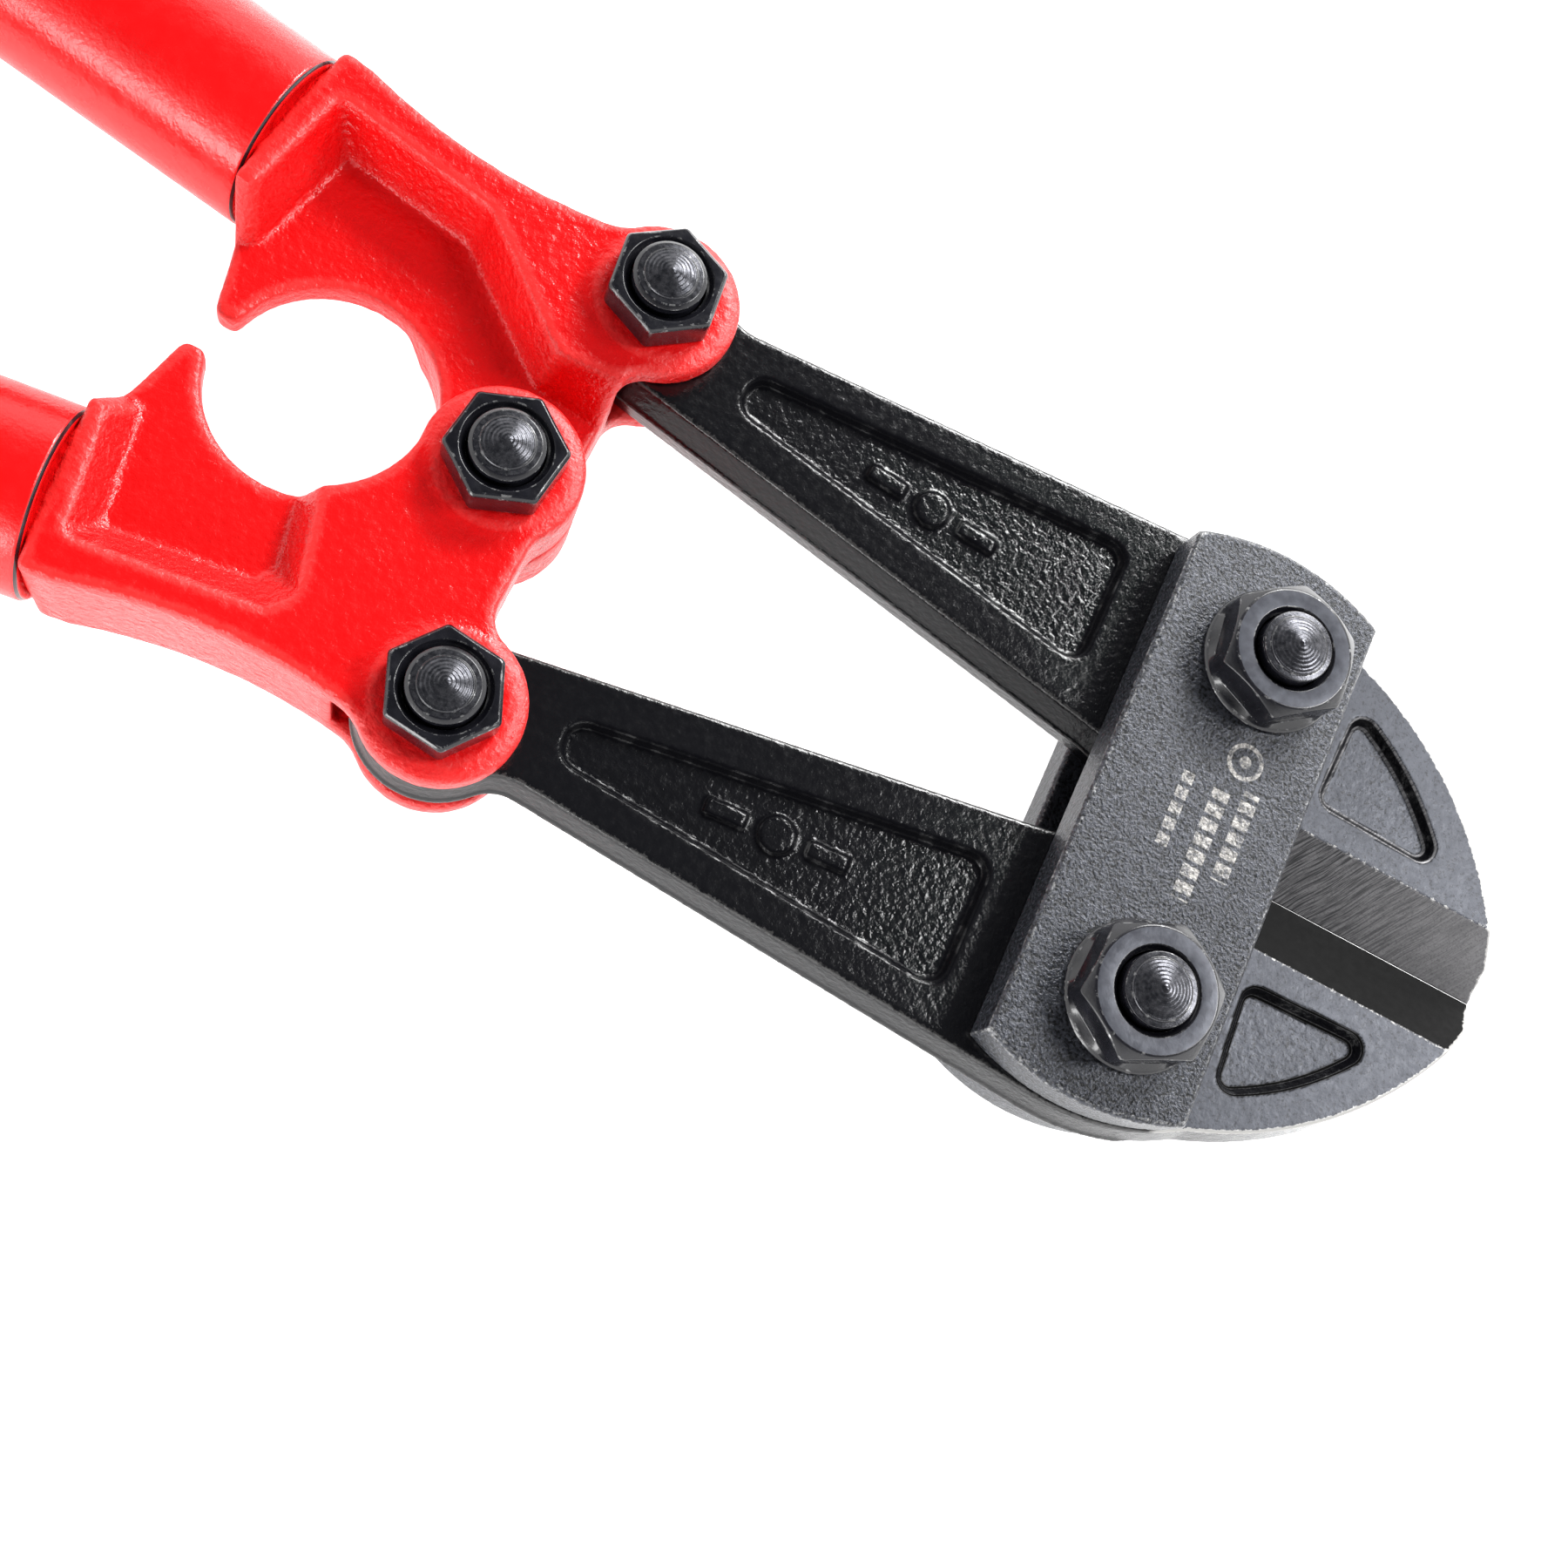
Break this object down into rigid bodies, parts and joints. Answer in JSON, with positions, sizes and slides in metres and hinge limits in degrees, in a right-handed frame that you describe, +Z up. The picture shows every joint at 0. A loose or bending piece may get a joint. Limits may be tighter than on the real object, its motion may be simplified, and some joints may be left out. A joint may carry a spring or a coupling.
{
  "type": "bolt cutters",
  "caption": "Compound-lever bolt cutters: tubular handles in cast heads, forged jaws with ground blades, bolted cover plates and a centre pivot; closed, lying flat.",
  "frame": {"origin": "under the middle of the tool, at the level of its lowest point", "axes": "+X along the tool towards the blade tips, +Y across the tool towards the upper jaw, +Z up, from the bolt heads towards the nuts"},
  "size_m": [0.45, 0.1552, 0.0426],
  "materials": {
    "red_casting": "gloss enamel over a cast surface",
    "red_tube": "satin enamel on steel tube",
    "grip_rubber": "matt moulded",
    "black_forging": "black lacquer over a forged surface",
    "plate_finish": "grained dark grey, satin",
    "black_fastener": "black oxide, oiled"
  },
  "bodies": {
    "lower_handle": {"lower_handle_head": "red_casting", "lower_handle_tube": "red_tube", "lower_handle_grip": "grip_rubber", "lower_jaw_pivot_bolt": "black_fastener", "lower_jaw_pivot_nut": "black_fastener", "centre_pivot_bolt": "black_fastener", "centre_pivot_nut": "black_fastener"},
    "upper_handle": {"upper_handle_head": "red_casting", "upper_handle_tube": "red_tube", "upper_handle_grip": "grip_rubber", "upper_jaw_pivot_bolt": "black_fastener", "upper_jaw_pivot_nut": "black_fastener"},
    "lower_jaw": {"lower_jaw": "black_forging"},
    "upper_jaw": {"upper_jaw": "black_forging"},
    "cover_plates": {"front_cover_plate": "plate_finish", "rear_cover_plate": "plate_finish", "upper_plate_bolt": "black_fastener", "lower_plate_bolt": "black_fastener", "upper_plate_flange_nut": "black_fastener", "lower_plate_flange_nut": "black_fastener"}
  },
  "joints": [
    {"name": "handle_pivot", "type": "hinge", "parent": "lower_handle", "child": "upper_handle", "pos_m": [0.074, 0, 0.01995], "axis": [0, 0, -1], "range_deg": [0, 84]},
    {"name": "lower_jaw_pivot", "type": "hinge", "parent": "lower_handle", "child": "lower_jaw", "pos_m": [0.0815, -0.031, 0.01995], "axis": [0, 0, -1], "range_deg": [0, 50]},
    {"name": "upper_jaw_pivot", "type": "hinge", "parent": "upper_handle", "child": "upper_jaw", "pos_m": [0.0815, 0.031, 0.01995], "axis": [0, 0, 1], "range_deg": [0, 50]},
    {"name": "plate_pivot", "type": "hinge", "parent": "lower_jaw", "child": "cover_plates", "pos_m": [0.1755, -0.025, 0.01995], "axis": [0, 0, 1], "range_deg": [0, 7.5]}
  ],
  "couplings": [
    {"joint": "lower_jaw_pivot", "follows": "handle_pivot", "ratio": 0.5875},
    {"joint": "upper_jaw_pivot", "follows": "handle_pivot", "ratio": 0.5875},
    {"joint": "plate_pivot", "follows": "handle_pivot", "ratio": 0.0875}
  ]
}
